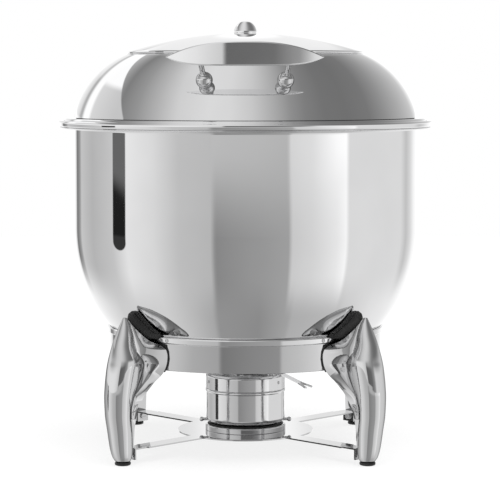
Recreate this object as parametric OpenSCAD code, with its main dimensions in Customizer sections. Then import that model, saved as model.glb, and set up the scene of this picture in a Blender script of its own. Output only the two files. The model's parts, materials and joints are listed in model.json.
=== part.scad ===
// Roll top soup chafer: a deep round bowl on a four-legged stand, with a
// two-leaf dome lid whose front leaf swivels behind the rear one.
// Units are millimetres, +Z is up, the front faces -Y, and the origin is on
// the floor below the centre of the bowl.

/* [Bowl] */
// Outer radius of the bowl's straight wall
bowl_r = 190; // [188:0.5:191]
// Height of the rim's lower face above the floor
rim_z = 353; // [352:0.5:354]
// Outer radius of the rim band
rim_r = 205; // [204.5:0.5:208]
// Height of the rim band
rim_h = 7; // [6.5:0.5:7.5]
// Thickness of the bowl's sheet
bowl_t = 1.5; // [1.2:0.1:2]
// Outer radius of the soup pot's wall
pot_r = 180; // [176:1:182]

/* [Lid] */
// Radius of the lid's shoulder curve, on the outside of the front leaf
shoulder_r = 99.6; // [99:0.2:100]
// Thickness of the lid's sheet
lid_t = 1.2; // [1:0.1:1.4]
// Clear gap between the two leaves
leaf_gap = 1; // [0.8:0.1:1.2]
// Angle that each leaf covers
leaf_angle = 185; // [182:1:190]
// Outer radius of the crown cap
cap_r = 130; // [128:0.5:131]
// Radius of the domed knob
knob_r = 12.5; // [10:0.5:14]

/* [Handle] */
// Radius of the handle plate's inner face about the lid's axis
handle_r = 195; // [192:0.5:197]
// Width of the handle plate from tip to tip
handle_w = 161; // [150:1:170]
// Thickness of the handle plate
handle_t = 2.5; // [2:0.5:3]
// Radius of the two handle rods
rod_r = 2.6; // [2:0.1:3]
// Radius of the ball at each rod's foot
ball_r = 8.6; // [7:0.2:9.5]

/* [Stand] */
// Outer radius of the support ring
ring_r = 150; // [149:0.5:150.5]
// Height of the support ring's lower edge
ring_z = 99.5; // [98:0.5:101]
// Thickness of the support ring
ring_t = 3; // [2:0.5:4]
// Thickness of the rubber cradle pads
pad_t = 10; // [9.5:0.1:10.2]
// Radius of the round rubber feet
foot_r = 8.5; // [7:0.5:9.5]
// Height of the base plate's top face
plate_z = 17; // [16:0.5:18]
// Radius of the base plate's disc
disc_r = 75; // [65:1:85]
// Width of the base plate's arms
arm_w = 20; // [16:1:24]

/* [Burner] */
// Outer radius of the burner cup
cup_r = 44; // [42:0.5:45]
// Height of the burner cup's lower face
cup_z = 25; // [24.5:0.5:26]
// Radius of the rounded corner round the cup's floor
cup_corner = 7; // [5:0.5:8]
// Height of the seam between the cup and its cover
seam_z = 64; // [60:1:66]
// Height of the burner cover's top face
cover_z = 80; // [76:1:82]
// Radius of the flame opening
flame_r = 15; // [12:0.5:16]
// Radius of the damper's disc
damper_r = 19; // [18:0.5:20]

/* [Hidden] */
$fn = 96;

steel = [0.80, 0.81, 0.82];
dark_steel = [0.62, 0.63, 0.65];
rubber = [0.06, 0.06, 0.06];

// Directions of the four legs about the centre
front_left = 225;
front_right = 315;
rear_left = 135;
rear_right = 45;
leg_directions = [rear_right, rear_left, front_left, front_right];

// Bowl curve: a long arc below the straight wall, then a tight turn to the floor
curve_r = 172;
curve_x = bowl_r - curve_r;
curve_z = 245;
curve_end = 39;
turn_r = 30;
turn_x = curve_x + (curve_r - turn_r) * cos(curve_end);
turn_z = curve_z - (curve_r - turn_r) * sin(curve_end);
flange_r = rim_r - 1;
bowl_top = rim_z;
running_gap = 0.3;

// Soup pot
pot_t = 1.2;
pot_flange_r = 198.5;
pot_gap = bowl_r - pot_r;
pot_bottom_z = 150;
pot_turn_r = 14;

// Lid
lid_ring_z = rim_z + 1.8;
lid_ring_top = rim_z + 9.5;
lid_ring_r = 198;
shoulder_x = 91;
shoulder_z = 340;
leaf_step = lid_t + leaf_gap;
front_leaf_z = lid_ring_top + 0.5;
crown_r = 128;
crown_curve = 484.9;
crown_top = 449.5;
hub_r = 22;
cap_curve = 428.4;
cap_top = 454.4;
cap_t = 1.5;
pivot_r = 5;
pivot_clear = 0.05;
hub_top = crown_top - crown_curve + sqrt(pow(crown_curve, 2) - pow(hub_r, 2));

// Handle: its plate is a lens wrapped round the lid's axis
plate_tip_z = 427;
plate_rise = 15.3;
plate_drop = 8.6;
rod_azimuth = 13.5;
rod_tilt = 50;
rod_foot_r = 172;
rod_foot_z = shoulder_z + sqrt(pow(shoulder_r, 2) - pow(rod_foot_r - shoulder_x, 2));

// Stand
foot_h = 3.5;
foot_at = 182;
seat_z = ring_z + 29;
seat_h = 6.5;
seat_r = ring_r + 2.5;
gasket_t = 1.5;
arm_face_r = ring_r + gasket_t + 0.1;
pad_outer = curve_r + running_gap + pad_t;
bolt_z = ring_z + 11.5;
bolt_side = 14;
bolt_r = 3;
seat_screw_turn = 12.5;
plate_t = 1.5;
tab_face = 171.6;
tab_h = 12;
tab_w = 16;

// Burner
cup_t = 1;
cover_r = cup_r + 0.6;
collar_r = cup_r + 0.6;
pivot_at = 34;
lever_turn = -37;
lever_w = 8;
lever_t = 1.2;
lever_slope = 18;
damper_t = 1;
damper_z = cover_z + 0.4;
rivet_r = 3;
slope_start = pivot_at + 18;
slope_length = 24;
prong_length = 13;

// One leg's stations: height, outer radius, half width of the horn, inner
// radius and half width of the face that meets the ring or the pad
LEG = [
  [foot_h, 189.5, 7.6, 174.5, 4],
  [8, 192.8, 10.2, 172.6, 5.6],
  [18, 196, 12.2, 172.2, 7.2],
  [36, 199, 13.7, 172, 8],
  [56, 202, 14.8, 169.5, 10],
  [72, 202.5, 15.6, 164, 13.2],
  [86, 201.4, 16.1, 157, 19.6],
  [98, 199.6, 16.5, arm_face_r, 28],
  [105, 198.2, 16.8, arm_face_r, 31.6],
  [112, 196.4, 17, arm_face_r, 33],
  [119, 194, 17, arm_face_r, 32.4],
  [125.5, 191.4, 16.4, arm_face_r, 29.5],
  [127, 190.7, 16.2, pad_seat(127), 27],
  [131, 189, 15, pad_seat(131), 16],
  [137, 186.6, 12.5, pad_seat(137), 10.5],
  [144, 184.2, 9, pad_seat(144), 6.4],
  [151, 182.2, 5.2, pad_seat(151), 3.6],
  [156.5, 180.6, 1.9, pad_seat(156.5), 1.4]];

// Radius of the pads' outer face at a height
function pad_seat(z) = curve_x + sqrt(pow(pad_outer + 0.1, 2) - pow(curve_z - z, 2));

// Points on an arc, from angle a to angle b in n steps
function arc(x, z, r, a, b, n) =
  [for (i = [0:n]) [x + r * cos(a + (b - a) * i / n), z + r * sin(a + (b - a) * i / n)]];

function reversed(list) = [for (i = [len(list) - 1:-1:0]) list[i]];

// Half of a leg's cross-section: round outer face, flared side, inner face
function leg_half(s, round_n = 5, side_n = 4, inner_n = 4) =
  let (w = s[2], centre = s[1] - w, flare = s[4], edge = sqrt(pow(s[3], 2) - pow(flare, 2)))
  concat(
    [for (i = [0:round_n]) [centre + w * cos(90 * i / round_n), w * sin(90 * i / round_n)]],
    [for (i = [1:side_n]) let (u = i / side_n)
      [centre + (edge - centre) * u, w + (flare - w) * u * u]],
    [for (i = [1:inner_n]) let (t = flare * (1 - i / inner_n)) [sqrt(pow(s[3], 2) - t * t), t]]);

// Whole cross-section as points at the station's height
function leg_ring(s) =
  let (half = leg_half(s), n = len(half))
  concat([for (p = half) [p[0], p[1], s[0]]],
    [for (i = [n - 2:-1:1]) [half[i][0], -half[i][1], s[0]]]);

module at_leg(direction) {
  rotate([0, 0, direction]) children();
}

module leg() {
  rings = [for (s = LEG) leg_ring(s)];
  n = len(rings[0]);
  count = len(rings);
  sides = [for (k = [0:count - 2], i = [0:n - 1]) let (j = (i + 1) % n)
    each [[k * n + i, (k + 1) * n + i, (k + 1) * n + j], [k * n + i, (k + 1) * n + j, k * n + j]]];
  floor_face = [[for (i = [0:n - 1]) i]];
  top_face = [[for (i = [n - 1:-1:0]) (count - 1) * n + i]];
  color(steel) polyhedron([for (ring = rings) each ring], concat(floor_face, sides, top_face));
}

module foot() {
  color(rubber) translate([foot_at, 0, 0]) rotate_extrude()
    polygon([[0, 0], [foot_r - 1.2, 0], [foot_r, 1.2], [foot_r, foot_h - 0.6],
      [foot_r - 0.6, foot_h], [0, foot_h]]);
}

// Leaf-shaped rubber pad between a leg's top and the bowl
module cradle_pad() {
  lean = 36;
  half_leaf = [[3.4, 19.5], [6.6, 12], [11.6, 2.7], [16.5, -5.5], [23, -10.5], [28.5, -13]];
  color(rubber) difference() {
    intersection() {
      rotate([0, 0, -15]) rotate_extrude(angle = 30) polygon(concat(
        arc(curve_x, curve_z, curve_r + running_gap, -26, -44, 6),
        arc(curve_x, curve_z, pad_outer, -44, -26, 6)));
      translate([curve_x, 0, curve_z]) rotate([0, lean, 0]) translate([curve_r - 20, 0, 0])
        rotate([90, 0, 90]) linear_extrude(50)
          polygon(concat(half_leaf, [for (p = reversed(half_leaf)) [-p[0], p[1]]]));
    }
    cylinder(h = seat_z + seat_h + running_gap, r = seat_r + running_gap);
  }
}

// Barrel-shaped outline of the gasket, as seen from outside the ring
module gasket_outline() {
  polygon([[-28.5, 98], [28.5, 98], [32.4, 104.5], [33.8, 112], [33, 120], [30, 127],
    [-30, 127], [-33, 120], [-33.8, 112], [-32.4, 104.5]]);
}

module ring_gasket() {
  color(rubber) difference() {
    intersection() {
      cylinder(h = seat_z, r = ring_r + gasket_t);
      translate([ring_r / 2, 0, 0]) rotate([90, 0, 90]) linear_extrude(ring_r) gasket_outline();
    }
    cylinder(h = 3 * seat_z, r = ring_r, center = true);
    leg_bolt_holes(bolt_r);
  }
}

module leg_bolt_holes(r) {
  for (side = [-bolt_side, bolt_side]) translate([ring_r / 2, side, bolt_z])
    rotate([0, 90, 0]) cylinder(h = ring_r, r = r);
}

module support_ring() {
  color(steel) difference() {
    translate([0, 0, ring_z]) cylinder(h = seat_z - ring_z, r = ring_r);
    translate([0, 0, ring_z - 1]) cylinder(h = seat_z, r = ring_r - ring_t);
    for (direction = leg_directions) at_leg(direction) leg_bolt_holes(bolt_r);
  }
}

// Ledge on top of the ring, with its inner face shaped to the bowl
module seat_ring() {
  lip_r = turn_r + running_gap;
  low = -asin((turn_z - seat_z) / lip_r);
  high = -asin((turn_z - seat_z - seat_h) / lip_r);
  color(steel) difference() {
    rotate_extrude() polygon(concat(arc(turn_x, turn_z, lip_r, low, high, 6),
      [[seat_r - 1, seat_z + seat_h], [seat_r, seat_z + seat_h - 1], [seat_r, seat_z + 0.8],
        [seat_r - 0.8, seat_z]]));
    seat_screw_places() translate([-5, 0, 0]) rotate([0, 90, 0]) cylinder(h = 20, r = 1.2);
  }
}

module seat_screw_places() {
  for (direction = leg_directions, side = [-1, 1])
    rotate([0, 0, direction + side * seat_screw_turn])
      translate([seat_r, 0, seat_z + seat_h / 2]) children();
}

module seat_screws() {
  color(dark_steel) seat_screw_places() rotate([0, 90, 0]) {
    translate([0, 0, -2.4]) cylinder(h = 2.4, r = 1.2);
    difference() {
      cylinder(h = 1, r = 2);
      translate([-0.3, -3, 0.5]) cube([0.6, 6, 1]);
    }
  }
}

// Hexagon-socket bolts that hold the legs from inside the ring
module leg_bolts() {
  color(dark_steel) for (direction = leg_directions, side = [-bolt_side, bolt_side])
    at_leg(direction) translate([0, side, bolt_z]) rotate([0, 90, 0]) {
      face = sqrt(pow(ring_r - ring_t, 2) - pow(bolt_side, 2)) - 1;
      end = sqrt(pow(arm_face_r, 2) - pow(bolt_side + bolt_r, 2)) - 0.4;
      difference() {
        translate([0, 0, face - 4]) cylinder(h = 4, r = 5);
        translate([0, 0, face - 5]) cylinder(h = 3.5, r = 2.9, $fn = 6);
      }
      translate([0, 0, face - 0.5]) cylinder(h = end - face + 0.5, r = bolt_r);
    }
}

module tab_screw_holes(r) {
  for (direction = leg_directions) at_leg(direction)
    translate([tab_face - 4, 0, plate_z - tab_h / 2]) rotate([0, 90, 0]) cylinder(h = 8, r = r);
}

// Round plate with four arms whose ends are bent down against the legs
module base_plate() {
  color(steel) difference() {
    union() {
      translate([0, 0, plate_z - plate_t]) cylinder(h = plate_t, r = disc_r);
      for (direction = leg_directions) at_leg(direction) {
        translate([disc_r - 6, -arm_w / 2, plate_z - plate_t])
          cube([tab_face - disc_r - 12, arm_w, plate_t]);
        translate([tab_face - 20, -tab_w / 2, plate_z - plate_t]) cube([20, tab_w, plate_t]);
        translate([tab_face - plate_t, -tab_w / 2, plate_z - tab_h]) cube([plate_t, tab_w, tab_h]);
      }
    }
    tab_screw_holes(2);
  }
}

module base_plate_screws() {
  color(dark_steel) for (direction = leg_directions) at_leg(direction)
    translate([tab_face - plate_t, 0, plate_z - tab_h / 2]) rotate([0, 90, 0]) {
      translate([0, 0, -0.2]) cylinder(h = plate_t + 0.4, r = 2);
      difference() {
        translate([0, 0, -2]) cylinder(h = 2, r = 3.6);
        translate([-0.5, -4, -3]) cube([1, 8, 1.8]);
      }
    }
}

// Low ring on the base plate that locates the burner
module burner_collar() {
  inner = cup_r - 1.9;
  color(steel) rotate_extrude() polygon([[inner, plate_z], [collar_r, plate_z],
    [collar_r, plate_z + 5.7], [collar_r - 0.8, plate_z + 6.5], [inner, plate_z + 6.5]]);
}

module burner_foot() {
  color(rubber) difference() {
    translate([0, 0, plate_z + 0.2]) cylinder(h = cup_z - plate_z - 0.2, r = cup_r - 3);
    translate([0, 0, plate_z - 1]) cylinder(h = cup_z, r = cup_r - 8);
  }
}

module burner_cup() {
  outer = arc(cup_r - cup_corner, cup_z + cup_corner, cup_corner, -90, 0, 8);
  inner = arc(cup_r - cup_corner, cup_z + cup_corner, cup_corner - cup_t, 0, -90, 8);
  color(steel) rotate_extrude() polygon(concat([[0, cup_z]], outer,
    [[cup_r, seam_z - 4], [cup_r + 1, seam_z - 3], [cup_r + 1, seam_z - 1.2],
      [cup_r, seam_z - 0.2], [cup_r - cup_t, seam_z - 0.2]], inner, [[0, cup_z + cup_t]]));
}

module burner_cover() {
  edge = 3;
  outer = arc(cover_r - edge, cover_z - edge, edge, 0, 90, 6);
  inner = arc(cover_r - edge, cover_z - edge, edge - cup_t, 90, 0, 6);
  color(steel) difference() {
    rotate_extrude() polygon(concat([[cover_r - cup_t, seam_z], [cover_r, seam_z]], outer,
      [[flame_r, cover_z], [flame_r, cover_z - cup_t]], inner));
    rotate([0, 0, lever_turn]) translate([pivot_at, 0, seam_z])
      cylinder(h = cover_z, r = rivet_r - 1);
  }
}

// Two small ball-ended lugs low on the cup's sides
module burner_lugs() {
  lug_z = cup_z + 2.5;
  color(steel) difference() {
    for (side = [0, 180]) rotate([0, 0, side]) translate([cup_r, 0, lug_z]) {
      translate([-6, 0, 0]) rotate([0, 90, 0]) cylinder(h = 9, r = 1.6);
      translate([4.6, 0, 0]) sphere(r = 2.6);
    }
    rotate_extrude() polygon(concat([[0, cup_z - 1], [cup_r - cup_corner, cup_z - 1]],
      arc(cup_r - cup_corner, cup_z + cup_corner, cup_corner, -90, 0, 8), [[cup_r, seam_z], [0, seam_z]]));
  }
}

module cover_screws() {
  color(dark_steel) for (direction = [-155, -35, 85]) rotate([0, 0, direction])
    translate([cover_r, 0, (seam_z + cover_z) / 2]) rotate([0, 90, 0]) cylinder(h = 0.9, r = 1.8);
}

// Fuel can with a shallow wick well in its top
module fuel_can() {
  color(dark_steel) difference() {
    translate([0, 0, cup_z + cup_t + 0.2]) cylinder(h = 31, r = cup_r - 7.2);
    translate([0, 0, cup_z + 25]) cylinder(h = 20, r = 14);
  }
}

module damper_rivet() {
  color(dark_steel) rotate([0, 0, lever_turn]) translate([pivot_at, 0, 0]) {
    translate([0, 0, cover_z - cup_t]) cylinder(h = cup_t, r = rivet_r - 1);
    translate([0, 0, cover_z]) cylinder(h = damper_z - cover_z + damper_t + lever_t + 0.2, r = rivet_r);
    translate([0, 0, damper_z + damper_t + lever_t + 0.2]) cylinder(h = 1.2, r = rivet_r + 1.4);
  }
}

// Disc that closes the flame opening, with an ear round the rivet
module damper_plate() {
  color(steel) rotate([0, 0, lever_turn]) translate([0, 0, damper_z]) difference() {
    union() {
      cylinder(h = damper_t, r = damper_r);
      translate([0, -7, 0]) cube([pivot_at, 14, damper_t]);
      translate([pivot_at, 0, 0]) cylinder(h = damper_t, r = 7);
    }
    translate([pivot_at, 0, -1]) cylinder(h = 4, r = rivet_r + pivot_clear);
  }
}

// Flat lever that slopes down outside the cup and ends in two prongs
module damper_lever() {
  start = 6;
  half = lever_w / 2;
  reach = slope_length + prong_length;
  end = [slope_start + reach * cos(lever_slope), -reach * sin(lever_slope)];
  side_view = [[start, 0], [slope_start, 0], end,
    [end[0] + lever_t * sin(lever_slope), end[1] + lever_t * cos(lever_slope)],
    [slope_start + lever_t * tan(lever_slope / 2), lever_t], [start, lever_t]];
  fork = slope_start + slope_length * cos(lever_slope);
  half_plan = [[start, half], [fork, half], [end[0] - 1, half + 3.4], [end[0], half + 0.4],
    [fork + 3, half - 2.8]];
  color(steel) rotate([0, 0, lever_turn]) translate([0, 0, damper_z + damper_t]) difference() {
    intersection() {
      rotate([90, 0, 0]) linear_extrude(4 * lever_w, center = true) polygon(side_view);
      translate([0, 0, -20]) linear_extrude(30)
        polygon(concat(half_plan, [for (p = reversed(half_plan)) [p[0], -p[1]]]));
    }
    translate([pivot_at, 0, -1]) cylinder(h = 4, r = rivet_r + pivot_clear);
  }
}

// Deep outer bowl that holds the hot water
module water_bowl() {
  outer = concat(arc(curve_x, curve_z, curve_r, 0, -curve_end, 12),
    arc(turn_x, turn_z, turn_r, -curve_end - 8, -90, 6));
  inner = concat(arc(turn_x, turn_z, turn_r - bowl_t, -90, -curve_end - 8, 6),
    arc(curve_x, curve_z, curve_r - bowl_t, -curve_end, 0, 12));
  color(steel) rotate_extrude() polygon(concat([[bowl_r, bowl_top]], outer,
    inner, [[bowl_r - bowl_t, bowl_top]]));
}

// Flat base of the bowl, inside the turn of its wall
module bowl_base() {
  color(steel) translate([0, 0, turn_z - turn_r]) cylinder(h = bowl_t, r = turn_x);
}

// Flat flange welded round the bowl's top edge
module bowl_flange() {
  color(steel) translate([0, 0, bowl_top - bowl_t]) difference() {
    cylinder(h = bowl_t, r = flange_r);
    translate([0, 0, -1]) cylinder(h = bowl_t + 2, r = bowl_r);
  }
}

module rim_band() {
  inner = pot_flange_r + 1;
  round_r = 1.6;
  color(steel) rotate_extrude() polygon(concat(
    [[inner, rim_z], [rim_r - round_r, rim_z]],
    arc(rim_r - round_r, rim_z + round_r, round_r, -60, 0, 3),
    arc(rim_r - round_r, rim_z + rim_h - round_r, round_r, 0, 90, 4),
    [[inner, rim_z + rim_h]]));
}

// Removable pot for the soup, hung from the bowl's flange
module soup_pot() {
  outer_r = curve_r - pot_gap;
  start = -asin((curve_z - pot_bottom_z - 10) / outer_r);
  outer = arc(curve_x, curve_z, outer_r, 0, start, 10);
  inner = arc(curve_x, curve_z, outer_r - pot_t, start, 0, 10);
  floor_r = outer[10][0] - pot_turn_r;
  color(steel) rotate_extrude() polygon(concat([[pot_flange_r, rim_z + 0.1],
    [pot_r, rim_z + 0.1]], outer, [[floor_r, pot_bottom_z], [0, pot_bottom_z],
    [0, pot_bottom_z + pot_t], [floor_r - 0.4, pot_bottom_z + pot_t]], inner,
    [[pot_r - pot_t, rim_z + 1.3], [pot_flange_r, rim_z + 1.3]]));
}

// Ring that carries the rear leaf and rests on the pot's flange
module lid_base_ring() {
  inner = shoulder_x + sqrt(pow(shoulder_r - leaf_step - lid_t, 2)
    - pow(lid_ring_top - shoulder_z, 2));
  color(steel) rotate_extrude() polygon(concat([[inner, lid_ring_z], [lid_ring_r - 1, lid_ring_z]],
    [[lid_ring_r, lid_ring_z + 1]],
    arc(lid_ring_r - 2.2, lid_ring_top - 2.2, 2.2, 0, 90, 5), [[inner, lid_ring_top]]));
}

// Profile of one leaf, set in from the outermost surface
function leaf_profile(inset, foot_z) =
  let (r = shoulder_r - inset, top = crown_curve - inset, base = crown_top - crown_curve,
    low = asin((foot_z - shoulder_z) / r), high = acos((crown_r - inset - shoulder_x) / r),
    join = acos((crown_r - inset) / top), hub = acos(hub_r / top))
  concat(arc(shoulder_x, shoulder_z, r, low, high, 11), arc(0, base, top, join + 1.2, hub, 5));

module leaf(inset, foot_z) {
  outer = leaf_profile(inset, foot_z);
  inner = leaf_profile(inset + lid_t, foot_z);
  top = hub_top - inset;
  hole = pivot_r + pivot_clear;
  difference() {
    union() {
      rotate([0, 0, (180 - leaf_angle) / 2]) rotate_extrude(angle = leaf_angle)
        polygon(concat(outer, reversed(inner)));
      translate([0, 0, top - lid_t]) cylinder(h = lid_t, r = hub_r + 0.5);
    }
    cylinder(h = 2 * crown_top, r = hole);
  }
}

module rear_lid_shell() {
  color(steel) leaf(leaf_step, lid_ring_top);
}

module front_lid_shell() {
  color(steel) rotate([0, 0, 180]) leaf(0, front_leaf_z);
}

module pivot_bolt() {
  head_z = hub_top - leaf_step - lid_t;
  color(dark_steel) {
    translate([0, 0, head_z - 4]) cylinder(h = 4, r = 9, $fn = 6);
    translate([0, 0, head_z]) cylinder(h = cap_top + 8 - head_z, r = pivot_r);
  }
}

module pivot_washer() {
  color(rubber) translate([0, 0, hub_top - leaf_step + 0.05]) difference() {
    cylinder(h = leaf_gap - 0.15, r = 15);
    translate([0, 0, -1]) cylinder(h = 4, r = pivot_r + pivot_clear);
  }
}

module cap_spacer() {
  color(dark_steel) translate([0, 0, hub_top + 0.1]) difference() {
    cylinder(h = cap_top - cap_t - hub_top - 0.3, r = 12);
    translate([0, 0, -1]) cylinder(h = 8, r = pivot_r + pivot_clear);
  }
}

// Shallow dome that covers the crown and overhangs both leaves
module lid_cap() {
  base = cap_top - cap_curve;
  outer_end = acos(cap_r / cap_curve);
  start = acos(pivot_r / cap_curve);
  color(steel) difference() {
    rotate_extrude() polygon(concat(arc(0, base, cap_curve, outer_end, 90, 10),
      arc(0, base, cap_curve - cap_t, 90, outer_end, 10)));
    translate([0, 0, base]) cylinder(h = 2 * cap_curve, r = pivot_r + pivot_clear);
  }
}

module lid_knob() {
  centre = cap_top + 1.1;
  color(steel) difference() {
    rotate_extrude() polygon(concat([[0, cap_top], [knob_r - 3, cap_top], [knob_r - 2.4, centre - 0.4],
      [knob_r - 0.5, centre - 0.4]], arc(0, centre, knob_r, 0, 90, 12)));
    cylinder(h = cap_top + 8.1, r = pivot_r + pivot_clear);
  }
}

// Half outline of the handle plate's top or bottom edge
function plate_edge(u, height, power) = plate_tip_z + height * (1 - pow(u, power));

module handle_plate() {
  steps = 12;
  half = handle_w / 2;
  upper = [for (i = [0:steps]) let (u = 1 - 2 * i / steps)
    [u * half, plate_edge(abs(u), plate_rise, 2.6) + 0.4]];
  lower = [for (i = [0:steps]) let (u = 2 * i / steps - 1)
    [u * half, plate_edge(abs(u), -plate_drop, 5) - 0.4]];
  color(steel) intersection() {
    difference() {
      cylinder(h = crown_top, r = handle_r + handle_t, $fn = 180);
      translate([0, 0, -1]) cylinder(h = crown_top + 2, r = handle_r, $fn = 180);
    }
    rotate([90, 0, 0]) linear_extrude(handle_r + 20) polygon(concat(upper, lower));
  }
}

// Rod from its ball on the lid up to the back of the handle plate
module handle_rod(side) {
  color(steel) intersection() {
    rotate([0, 0, 270 + side * rod_azimuth]) translate([rod_foot_r, 0, rod_foot_z])
      rotate([0, 90 - rod_tilt, 0]) translate([0, 0, ball_r]) cylinder(h = 50, r = rod_r);
    cylinder(h = crown_top, r = handle_r + 0.6);
  }
}

module handle_ball(side) {
  color(steel) rotate([0, 0, 270 + side * rod_azimuth]) translate([rod_foot_r, 0, rod_foot_z])
    rotate([0, 90 - rod_tilt, 0]) translate([0, 0, ball_r - 1]) sphere(r = ball_r);
}

at_leg(front_left) leg();  // leg_front_left
at_leg(front_right) leg();  // leg_front_right
at_leg(rear_left) leg();  // leg_rear_left
at_leg(rear_right) leg();  // leg_rear_right
at_leg(front_left) foot();  // foot_front_left
at_leg(front_right) foot();  // foot_front_right
at_leg(rear_left) foot();  // foot_rear_left
at_leg(rear_right) foot();  // foot_rear_right
at_leg(front_left) cradle_pad();  // cradle_pad_front_left
at_leg(front_right) cradle_pad();  // cradle_pad_front_right
at_leg(rear_left) cradle_pad();  // cradle_pad_rear_left
at_leg(rear_right) cradle_pad();  // cradle_pad_rear_right
at_leg(front_left) ring_gasket();  // ring_gasket_front_left
at_leg(front_right) ring_gasket();  // ring_gasket_front_right
at_leg(rear_left) ring_gasket();  // ring_gasket_rear_left
at_leg(rear_right) ring_gasket();  // ring_gasket_rear_right
support_ring();
seat_ring();
leg_bolts();
seat_screws();
base_plate();
base_plate_screws();
burner_collar();
burner_foot();
burner_cup();
burner_cover();
burner_lugs();
cover_screws();
fuel_can();
damper_rivet();
damper_plate();
damper_lever();
water_bowl();
bowl_base();
bowl_flange();
rim_band();
soup_pot();
lid_base_ring();
rear_lid_shell();
pivot_bolt();
pivot_washer();
cap_spacer();
lid_cap();
lid_knob();
front_lid_shell();
handle_plate();
handle_rod(-1);  // handle_rod_left
handle_rod(1);  // handle_rod_right
handle_ball(-1);  // handle_ball_left
handle_ball(1);  // handle_ball_right
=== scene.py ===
import json
import math

import bmesh
import bpy
from mathutils import Matrix, Vector


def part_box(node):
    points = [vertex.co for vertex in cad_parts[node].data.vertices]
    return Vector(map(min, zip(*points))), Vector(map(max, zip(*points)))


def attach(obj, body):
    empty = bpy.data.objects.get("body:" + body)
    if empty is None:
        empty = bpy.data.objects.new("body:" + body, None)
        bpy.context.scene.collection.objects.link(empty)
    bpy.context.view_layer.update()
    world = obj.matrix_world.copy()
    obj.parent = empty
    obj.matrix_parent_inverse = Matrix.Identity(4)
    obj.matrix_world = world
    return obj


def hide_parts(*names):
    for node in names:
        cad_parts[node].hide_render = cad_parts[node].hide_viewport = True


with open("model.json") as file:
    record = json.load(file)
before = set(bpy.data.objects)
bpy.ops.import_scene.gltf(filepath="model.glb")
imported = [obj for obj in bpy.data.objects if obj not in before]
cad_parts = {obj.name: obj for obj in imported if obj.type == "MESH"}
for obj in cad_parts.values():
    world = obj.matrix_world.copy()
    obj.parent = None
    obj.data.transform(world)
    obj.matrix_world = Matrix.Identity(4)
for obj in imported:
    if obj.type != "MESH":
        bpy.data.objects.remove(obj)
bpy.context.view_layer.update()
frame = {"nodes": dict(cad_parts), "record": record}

# Everything is in metres, in the CAD frame: +Z up, the front at -Y.
LEG_DIRECTIONS = {"front_left": 225, "front_right": 315, "rear_left": 135, "rear_right": 45}
FRONT = 270
AROUND = 256
HOLD_SPAN, HOLD_GAP = 0.0031, 0.0004

# The bowl's wall: a long arc below the straight part, then a tight turn to the floor
BOWL_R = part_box("water_bowl")[1].x
BOWL_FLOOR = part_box("water_bowl")[0].z
RIM_LOW, RIM_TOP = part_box("rim_band")[0].z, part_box("rim_band")[1].z
CURVE_R, CURVE_Z, CURVE_END = 0.172, 0.245, 39
CURVE_X = BOWL_R - CURVE_R
TURN_R = 0.030
TURN_X = CURVE_X + (CURVE_R - TURN_R) * math.cos(math.radians(CURVE_END))
TURN_Z = CURVE_Z - (CURVE_R - TURN_R) * math.sin(math.radians(CURVE_END))

# The lid's leaves: a shoulder arc and a flatter crown arc, both about the vertical axis
SHOULDER_R, SHOULDER_X, SHOULDER_Z = 0.0996, 0.091, 0.340
CROWN_R, CROWN_CURVE = 0.128, 0.4849
CROWN_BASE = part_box("front_lid_shell")[1].z - math.sqrt(CROWN_CURVE**2 - 0.022**2)
LEAF_T, LEAF_STEP, LEAF_ANGLE, HUB_R = 0.0012, 0.0022, 185, 0.022
CAP_CURVE, CAP_T = 0.4284, 0.0015
CAP_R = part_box("lid_cap")[1].x
PIVOT_R = 0.005


# Shapes ---------------------------------------------------------------------


def arc(x, z, radius, start, end, steps):
    """Points on a circle's arc, from one angle in degrees to another."""
    angles = [math.radians(start + (end - start) * i / steps) for i in range(steps + 1)]
    return [(x + radius * math.cos(a), z + radius * math.sin(a)) for a in angles]


def rounded(corners, steps=5):
    """A closed outline from (x, z, corner radius) triples, with each corner rounded."""
    points = []
    for i, (x, z, radius) in enumerate(corners):
        corner = Vector((x, z))
        before = Vector(corners[i - 1][:2]) - corner
        after = Vector(corners[(i + 1) % len(corners)][:2]) - corner
        half = before.angle(after) / 2
        if radius <= 0 or half > math.radians(89):
            points.append((x, z))
            continue
        reach = radius / math.tan(half)
        start = corner + before.normalized() * reach
        end = corner + after.normalized() * reach
        centre = corner + (before.normalized() + after.normalized()).normalized() * radius / math.sin(half)
        for k in range(steps + 1):
            spoke = (start - centre).normalized().slerp((end - centre).normalized(), k / steps)
            points.append(tuple(centre + spoke * radius))
    return points


def held(outline, closed=True):
    """The outline with extra points on long straights next to bends, so that flats shade flat."""
    count = len(outline)
    points = []
    for i, (x, z) in enumerate(outline):
        points.append((x, z))
        if i == count - 1 and not closed:
            break
        here, there = Vector((x, z)), Vector(outline[(i + 1) % count])
        span = (there - here).length
        if span > HOLD_SPAN:
            points += [tuple(here.lerp(there, HOLD_GAP / span)), tuple(there.lerp(here, HOLD_GAP / span))]
    return points


def mesh_piece(name, points, faces, material, sharp=40):
    """A smooth-shaded mesh object with outward faces; edges sharper than sharp degrees stay crisp."""
    mesh = bpy.data.meshes.new(name)
    mesh.from_pydata(points, [], faces)
    work = bmesh.new()
    work.from_mesh(mesh)
    bmesh.ops.remove_doubles(work, verts=work.verts, dist=1e-6)
    bmesh.ops.recalc_face_normals(work, faces=work.faces)
    work.to_mesh(mesh)
    work.free()
    mesh.shade_smooth()
    mesh.set_sharp_from_angle(angle=math.radians(sharp))
    mesh.materials.append(material)
    piece = bpy.data.objects.new(name, mesh)
    bpy.context.scene.collection.objects.link(piece)
    return piece


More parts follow.
